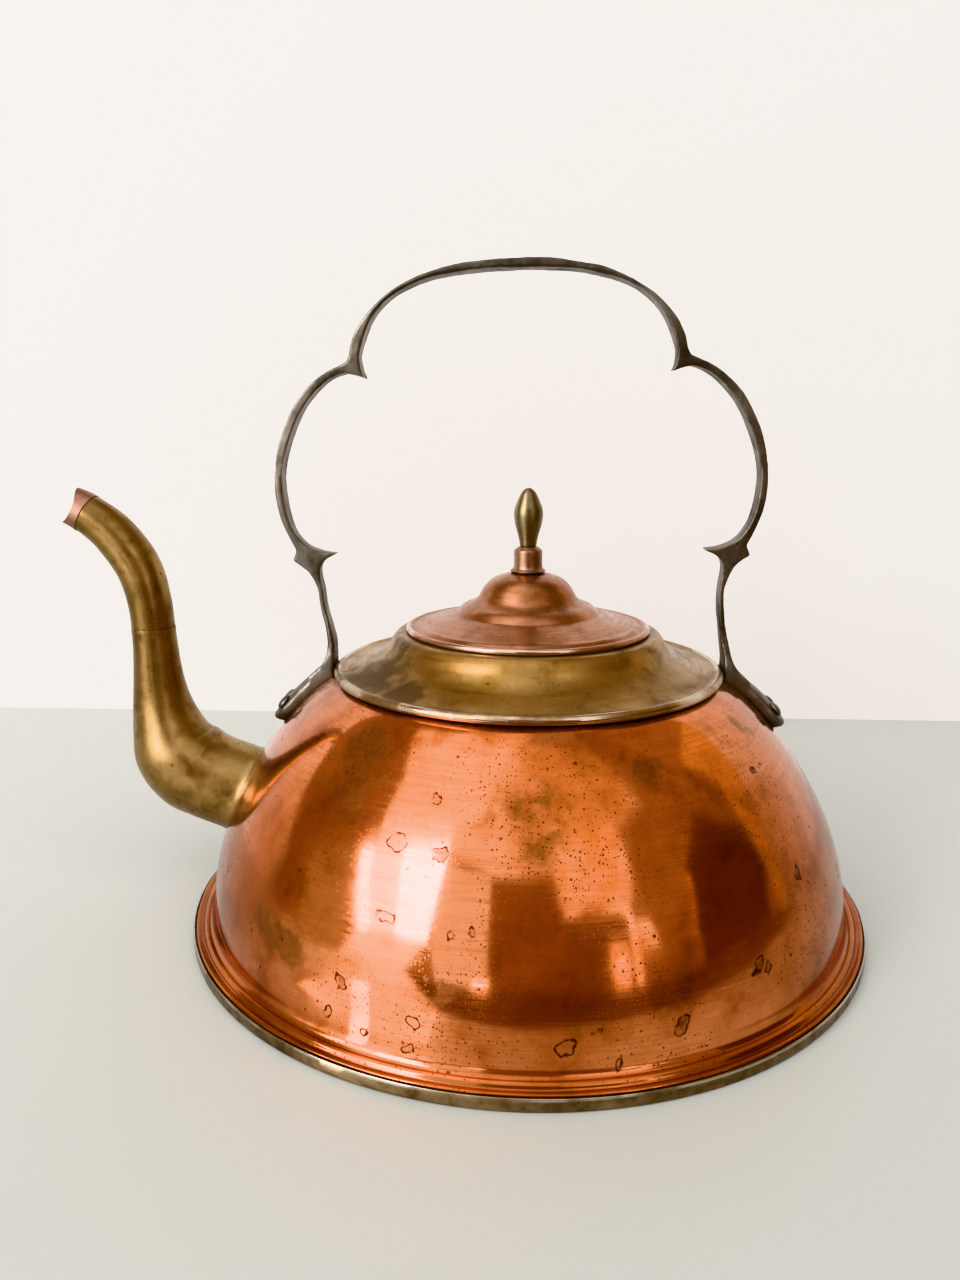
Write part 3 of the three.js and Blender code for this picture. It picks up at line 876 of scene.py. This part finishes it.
def aged_metal(
    name,
    bare,
    film,
    dark,
    roughness=0.34,
    turned_marks=True,
    stain=0.5,
    seed=0.0,
    spots=0.3,
    wear_and_sheen_from=None,
    wear_and_sheen_above=None,
    stains_and_dark_reflection=(),
    grain_depth=0.16,
):
    """Old brass or copper: bare metal under a patchy film, with grime and painted shade in hollows, and
    lighter on worn edges.

    The rim is rubbed pale, with a painted highlight paler than bare metal, outside the radius
    wear_and_sheen_from, or above the height wear_and_sheen_above. The patches in
    stains_and_dark_reflection are stains and a painted dark reflection.
    """
    look = Look(name)
    broad = look.noise(14, 4, roughness=0.6, distortion=0.5, seed=seed)
    cloud = look.noise(3.6, 5, roughness=0.68, seed=seed + 1)
    fine = look.noise(0.7, 3, roughness=0.7, seed=seed + 2)
    if turned_marks:
        square = look.math("ADD", look.math("POWER", look.x, 2.0), look.math("POWER", look.y, 2.0))
        reach = look.math("POWER", square, 0.5)
        across = look.plus(look.z, reach, 0.8)
        grain = look.round_streaks(30, 0.4, across, detail=4, seed=seed)
    else:
        inputs = {0: look.place, 1: (1.0, 1.0, 0.35)}
        squeezed = look.add("ShaderNodeVectorMath", inputs, operation="MULTIPLY")
        grain = look.noise(1.6, 5, squeezed, roughness=0.7, seed=seed + 3)
    mask = look.step(look.plus(broad, cloud, 0.5), 0.55, 0.95)
    colour = look.mix(mask, bare, film)
    colour = look.mix(look.both(look.step(grain, 0.5, 0.75), 2.5 * grain_depth), colour, film)
    patchy = look.both(look.step(cloud, 0.52, 0.72), look.step(broad, 0.42, 0.62, 0.3, 1), stain)
    # Stains, with a painted dark reflection where they are placed on the collar's left side.
    if stains_and_dark_reflection:
        patchy = look.either(patchy, look.both(patches(look, stains_and_dark_reflection, 0.7), 0.85))
    colour = look.mix(patchy, colour, dark)
    pits = look.either(look.pits(1.9, 0.4, spots, seed=seed), look.pits(5, 0.9, spots, seed=seed + 1))
    colour = look.mix(look.both(pits, 0.7), colour, dark)
    worn = look.both(look.edges(), look.step(cloud, 0.35, 0.6, 0.4, 1), 0.6)
    colour = look.mix(worn, colour, bare)
    rim = None
    if wear_and_sheen_from:
        rim = look.step(reach, wear_and_sheen_from - 0.4, wear_and_sheen_from + 0.2)
        least = 0.15
    if wear_and_sheen_above:
        rim = look.step(look.z, wear_and_sheen_above - 0.5, wear_and_sheen_above)
        least = 0.1
    if rim:
        rubbed_and_sheen = look.both(rim, look.step(look.noise(9, 3, seed=seed + 5), 0.4, 0.55, least, 1))
        # Painted highlight: the rubbed rim is made paler than bare metal, standing for both its wear
        # and its highlight.
        pale = tuple(1 - 0.72 * (1 - c) for c in bare)
        colour = look.mix(rubbed_and_sheen, colour, pale)
        worn = look.either(worn, rubbed_and_sheen)
    # Painted shade, with grime: darker and rougher where nearby parts close the surface in.
    shade_and_grime = look.step(look.hollows(2.5), 0.3, 0.85)
    colour = look.mix(look.both(shade_and_grime, 0.85), colour, tuple(c * 0.35 for c in dark))
    uneven = look.plus(grain, cloud, 0.5)
    rough = look.step(uneven, 0.5, 1.0, roughness - 0.08, roughness + 0.08)
    rough = look.blend(worn, rough, 0.15)
    rough = look.blend(look.either(patchy, pits, shade_and_grime), rough, roughness + 0.22)
    height = look.plus(look.both(grain, grain_depth), fine, 1.5 * grain_depth)
    height = look.plus(height, pits, -0.6)
    if turned_marks:
        look.brushed(0.4)
    return look.finish(colour, rough, height, 0.035)


brass_base = aged_metal(
    "aged brass, base",
    bare=(0.3, 0.215, 0.13),
    film=(0.075, 0.045, 0.018),
    dark=(0.028, 0.017, 0.007),
    stain=0.8,
    seed=3.0,
    wear_and_sheen_above=3.6,
)
brass_collar = aged_metal(
    "aged brass, collar",
    bare=(0.36, 0.22, 0.09),
    film=(0.2, 0.1, 0.024),
    dark=(0.085, 0.048, 0.02),
    stain=0.75,
    seed=1.0,
    wear_and_sheen_from=66.2,
    # Stains and a painted dark reflection on the collar's left side.
    stains_and_dark_reflection=[((-52, -30, 92), 24), ((-38, -48, 90), 13)],
    grain_depth=0.11,
)
brass_spout = aged_metal(
    "aged brass, spout",
    bare=(0.32, 0.205, 0.09),
    film=(0.175, 0.105, 0.042),
    dark=(0.06, 0.035, 0.017),
    roughness=0.33,
    turned_marks=False,
    stain=0.8,
    seed=5.0,
    spots=0.2,
    grain_depth=0.12,
)
copper_tip = aged_metal(
    "aged copper, spout tip",
    bare=(0.33, 0.19, 0.14),
    film=(0.22, 0.115, 0.085),
    dark=(0.08, 0.045, 0.035),
    roughness=0.4,
    turned_marks=False,
    stain=0.6,
    seed=6.0,
)
dark_brass = aged_metal(
    "dark brass, handle",
    bare=(0.185, 0.168, 0.14),
    film=(0.066, 0.06, 0.05),
    dark=(0.028, 0.026, 0.022),
    roughness=0.46,
    turned_marks=False,
    stain=0.7,
    seed=7.0,
)
copper_lid = aged_metal(
    "aged copper, lid",
    bare=(0.42, 0.195, 0.115),
    film=(0.25, 0.1, 0.045),
    dark=(0.12, 0.046, 0.02),
    roughness=0.32,
    seed=2.0,
    spots=0.2,
    wear_and_sheen_from=41.6,
    grain_depth=0.07,
)
bronze_ferrule = aged_metal(
    "bronze, ferrule",
    bare=(0.36, 0.22, 0.15),
    film=(0.22, 0.12, 0.08),
    dark=(0.08, 0.045, 0.03),
    roughness=0.4,
    stain=0.6,
    seed=4.0,
)
brass_finial = aged_metal(
    "aged brass, finial",
    bare=(0.23, 0.19, 0.115),
    film=(0.14, 0.108, 0.06),
    dark=(0.055, 0.04, 0.022),
    roughness=0.36,
    stain=0.6,
    seed=4.5,
)
fixing_brass = aged_metal(
    "dull brass, fixings",
    bare=(0.5, 0.36, 0.15),
    film=(0.33, 0.22, 0.08),
    dark=(0.12, 0.075, 0.03),
    roughness=0.4,
    turned_marks=False,
    stain=0.6,
    seed=8.0,
)

# ---- Which piece has which material, slot and body ----

finishes = [
    (body, copper_body(), "copper_body", "kettle"),
    (base, brass_base, "brass_base", "kettle"),
    (collar, brass_collar, "brass_collar", "kettle"),
    (spout_lower, brass_spout, "brass_spout", "kettle"),
    (spout_upper, brass_spout, "brass_spout", "kettle"),
    (spout_tip, copper_tip, "copper_tip", "kettle"),
    (handle, dark_brass, "brass_handle", "kettle"),
    *[(piece, dark_brass, "brass_fixings", "kettle") for piece in rivets],
    (lid, copper_lid, "copper_lid", "lid"),
    (sleeve, copper_lid, "copper_lid", "lid"),
    (ferrule, bronze_ferrule, "bronze_ferrule", "lid"),
    (finial, brass_finial, "brass_finial", "lid"),
]
for piece, material, slot_name, body_name in finishes:
    piece.data.materials.clear()
    piece.data.materials.append(material)
    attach(piece, body_name)
burrs = ["burr_back_near", "burr_back_far", "burr_spout_near", "burr_spout_far"]
for node_name in [*burrs, "finial_washer", "finial_nut"]:
    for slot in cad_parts[node_name].material_slots:
        slot.material = fixing_brass

# ---- Floor, wall, lights and camera ----

scene = bpy.context.scene
scene.view_settings.view_transform = "Khronos PBR Neutral"
MIDDLE = Vector((0, 0, 0.05))
FLOOR_REACH = 1.7
FLOOR_LEVEL = -0.0001
WALL_DISTANCE = 0.2345
WALL_REACH = 3
WALL_HEIGHT = 0.45


def show_one_side(tree, front):
    """Gives a material a shader on its front, and leaves it clear from behind."""
    side = tree.nodes.new("ShaderNodeNewGeometry").outputs["Backfacing"]
    clear = tree.nodes.new("ShaderNodeBsdfTransparent").outputs[0]
    pick = tree.nodes.new("ShaderNodeMixShader")
    tree.links.new(side, pick.inputs[0])
    tree.links.new(front, pick.inputs[1])
    tree.links.new(clear, pick.inputs[2])
    tree.links.new(pick.outputs[0], tree.nodes["Material Output"].inputs["Surface"])


def flat_card(name, corners):
    """A flat surface that isn't part of the object and casts no shadow."""
    mesh = bpy.data.meshes.new(name)
    mesh.from_pydata(corners, [], [tuple(range(len(corners)))])
    material = bpy.data.materials.new(name)
    material.use_nodes = True
    mesh.materials.append(material)
    card = bpy.data.objects.new(name, mesh)
    scene.collection.objects.link(card)
    card.visible_shadow = False
    return card


def stage_card(name, corners, colour, roughness, one_sided=False):
    """A plain matt card. A one-sided one is clear from behind."""
    tree = flat_card(name, corners).active_material.node_tree
    shader = tree.nodes["Principled BSDF"]
    shader.inputs["Base Color"].default_value = (*colour, 1)
    shader.inputs["Roughness"].default_value = roughness
    if one_sided:
        show_one_side(tree, shader.outputs[0])


square = [(-1, -1), (1, -1), (1, 1), (-1, 1)]
floor_corners = [(x * FLOOR_REACH, y * FLOOR_REACH, FLOOR_LEVEL) for x, y in square]
wall_corners = [(x * WALL_REACH, WALL_DISTANCE, (y + 1) / 2 * WALL_HEIGHT) for x, y in square]
stage_card("floor", floor_corners, (0.455, 0.475, 0.455), 0.45)
stage_card("wall", wall_corners, (0.8, 0.785, 0.785), 0.75, one_sided=True)


def direction(azimuth, elevation):
    """The way from the kettle, by the angle from the front to the right and the angle up."""
    a, e = math.radians(azimuth), math.radians(elevation)
    return Vector((math.sin(a) * math.cos(e), -math.cos(a) * math.cos(e), math.sin(e)))


def light_panel(name, azimuth, elevation, wide, tall, radiance, colour, distance=2.0):
    """A rectangular light facing the kettle, its size given as angles. It lights the floor and wall."""
    way = direction(azimuth, elevation)
    light = bpy.data.lights.new(name, "AREA")
    light.shape = "RECTANGLE"
    light.size = 2 * distance * math.tan(math.radians(wide) / 2)
    light.size_y = 2 * distance * math.tan(math.radians(tall) / 2)
    light.energy = 4 * radiance * light.size * light.size_y
    light.color = colour
    lamp = bpy.data.objects.new(name, light)
    scene.collection.objects.link(lamp)
    lamp.location = MIDDLE + way * distance
    lamp.rotation_euler = (-way).to_track_quat("-Z", "Y").to_euler()
    lamp.visible_camera = False
    lamp.visible_glossy = False


def glowing_card(name, points, radiance):
    """A glowing card that shows only in reflections, and only from the kettle's side."""
    card = flat_card(name, points)
    if card.data.polygons[0].normal.dot(MIDDLE - points[0]) < 0:
        card.data.flip_normals()
    tree = card.active_material.node_tree
    glow = tree.nodes.new("ShaderNodeEmission")
    glow.inputs["Color"].default_value = (*radiance, 1)
    show_one_side(tree, glow.outputs[0])
    card.visible_camera = False
    card.visible_diffuse = False


def table_card(name, corners, radiance, height=0.4):
    """A glowing card that lies on the table, its corners as [x, y] in millimetres."""
    glowing_card(name, [Vector((x, y, height)) * MM for x, y in corners], radiance)


DAYLIGHT = (1, 0.985, 0.96)
light_panel("window left, outer pane", -52, 21, 7, 36, 5, DAYLIGHT)
light_panel("window left, middle pane", -44, 23, 6, 32, 13, DAYLIGHT)
light_panel("window left, inner pane", -35.5, 19, 7, 32, 5, DAYLIGHT)
light_panel("window slit", -13.5, 5, 4, 16, 6, DAYLIGHT)
light_panel("window right", 32, 12, 6, 24, 3.2, DAYLIGHT)
light_panel("window right, top", 25, 29, 17, 9, 1.8, DAYLIGHT)
light_panel("ceiling", -3, 57, 96, 38, 1.3, (1, 0.96, 0.91))
light_panel("fill, above", 0, 78, 80, 80, 0.4, (1, 0.99, 0.99))
light_panel("fill, front", 0, 24, 70, 50, 0.4, (1, 0.99, 0.99))


def daylight(strength):
    """The daylight colour at a strength."""
    return tuple(strength * share for share in DAYLIGHT)


# The room round the kettle, as cards: radiance, distance, and corners as azimuth and elevation.
room_cards = [
    ("window left, outer pane", daylight(18), 2.1, [(-56, 9), (-52, 10), (-62, 30), (-67, 28)]),
    ("window left, middle pane", daylight(8), 2.1, [(-51.5, 10), (-44.5, 11), (-52, 35), (-61.5, 30)]),
    ("window left, inner pane", daylight(25), 2.1, [(-44, 11), (-31, 13), (-34.5, 41), (-51.5, 35)]),
    ("window left, sill", daylight(3), 2.15, [(-62, -10), (-44, -9), (-31, 13), (-56, 9)]),
    ("window left, haze", daylight(3.5), 2.12, [(-62, 29.5), (-34.5, 40.5), (-35, 48), (-65, 37)]),
    ("window slit", daylight(9), 2.1, [(-14.5, -9), (-11, -9), (-11, 12.5), (-16, 12)]),
    ("window right, edge", daylight(3.5), 2.1, [(34.3, -12), (36, -12), (37.6, 21), (35.6, 21)]),
    ("window right, low pane", daylight(4), 2.1, [(28.5, -3), (32.7, -3), (33.2, 10), (28.5, 12)]),
    ("window right, high pane", daylight(2), 2.1, [(37.5, 8), (43, 8), (43, 18), (38.5, 19)]),
    ("window right, top", (1.95, 1.88, 1.8), 2.15, [(12, 24), (36, 21), (43, 31), (43, 52), (12, 52)]),
    ("light above the cupboard", daylight(2.6), 2.12, [(13.5, 24), (31, 22.5), (32, 27.5), (13.5, 29)]),
    ("lamp", (0.9, 0.5, 0.2), 2.1, [(57, 14), (59, 14), (63, 25), (61, 25)]),
    ("curtain, left", daylight(1.35), 2.15, [(-26, -4), (-20, -4), (-25, 36), (-34, 37)]),
    ("curtain, right", daylight(1.35), 2.15, [(-20, -6), (-10.5, -6), (-12.5, 35), (-25, 36)]),
    ("wall beside the window", (0.62, 0.52, 0.36), 2.2, [(-74, -8), (-56, -8), (-67, 28), (-86, 17)]),
    ("ceiling left", (2.15, 2.1, 2.05), 2.2,
     [(-65, 36), (-34, 42), (-24, 50), (-30, 86), (-118, 86), (-118, 60), (-69, 48)]),
    ("ceiling middle left", (1.65, 1.6, 1.55), 2.2,
     [(-36, 40), (-8, 35), (-8, 86), (-30, 86), (-24, 50)]),
    ("ceiling middle", (1.4, 1.33, 1.22), 2.2,
     [(-8, 35), (24, 38), (62, 46), (70, 72), (20, 86), (-8, 86)]),
    ("ceiling above, left", (1.6, 1.55, 1.5), 2.3, [(-turn, 72) for turn in range(0, 181, 30)]),
    ("ceiling above, right", (0.7, 0.66, 0.6), 2.3, [(turn, 72) for turn in range(0, 181, 30)]),
    ("door", (0.34, 0.16, 0.06), 2.2, [(-10.5, -8), (13, -8), (13, 34.5), (-12.5, 34.5)]),
    ("cupboard", (0.27, 0.12, 0.045), 2.2, [(13, -8), (34, -8), (34, 22), (13, 23)]),
    ("dark corner", (0.12, 0.035, 0.008), 2.2,
     [(57, -12), (82, -12), (87, 0), (92, 9), (95, 20), (79, 34), (62, 27), (58, 10)]),
    ("wall right", (0.95, 0.68, 0.34), 2.2, [(92, -4), (128, -4), (128, 42), (95, 42)]),
]
for name, radiance, distance, corners in room_cards:
    points = [MIDDLE + direction(azimuth, elevation) * distance for azimuth, elevation in corners]
    glowing_card(f"{name} card", points, radiance)

# The table top: the window's glare on it, and the dark floor past its edge.
glare = [(-38, -130), (-75, -112), (-108, -100), (-168, -172), (-62, -190)]
window_bar = [(-58, -108), (-52, -112), (-148, -190), (-163, -180)]
table_card("glare on the table", glare, daylight(2.3))
table_card("window bar on the table", window_bar, daylight(10), 0.5)
table_edge = [(-62, -188), (0, -168), (75, -172), (178, -145), (260, -112), (500, 20), (2500, 20)]
table_card("dark below the table", [*table_edge, (2500, -2800), (-2200, -2800)], (0.2, 0.075, 0.022))

# The rest of the room: pale as the wall to the camera, warm in reflections, and dim as light.
world = bpy.data.worlds.new("room")
scene.world = world
world.use_nodes = True
room = world.node_tree
ray = room.nodes.new("ShaderNodeLightPath")


def background(colour):
    """A plain background of a colour."""
    node = room.nodes.new("ShaderNodeBackground")
    node.inputs["Color"].default_value = (*colour, 1)
    return node


def pick_by(ray_kind, no, yes):
    """One background for rays of a kind, and another for the rest."""
    choice = room.nodes.new("ShaderNodeMixShader")
    room.links.new(ray.outputs[ray_kind], choice.inputs[0])
    room.links.new(no.outputs[0], choice.inputs[1])
    room.links.new(yes.outputs[0], choice.inputs[2])
    return choice


dim, warm, pale = (background(c) for c in ((0.42, 0.38, 0.34), (0.48, 0.3, 0.16), (1.36, 1.28, 1.2)))
backdrop = pick_by("Is Camera Ray", pick_by("Is Glossy Ray", dim, warm), pale)
room.links.new(backdrop.outputs[0], room.nodes["World Output"].inputs["Surface"])

CAMERA_PLACE = (0, -0.3361, 0.1717)
CAMERA_TILT = 0.2150
CAMERA_TURN = 0.0502
camera_data = bpy.data.cameras.new("camera")
camera_data.lens = 27.04
camera_data.sensor_width = 36
camera_data.clip_start = 0.02
camera = bpy.data.objects.new("camera", camera_data)
scene.collection.objects.link(camera)
camera.location = CAMERA_PLACE
camera.rotation_euler = (math.radians(90) - CAMERA_TILT, 0, CAMERA_TURN)
scene.camera = camera
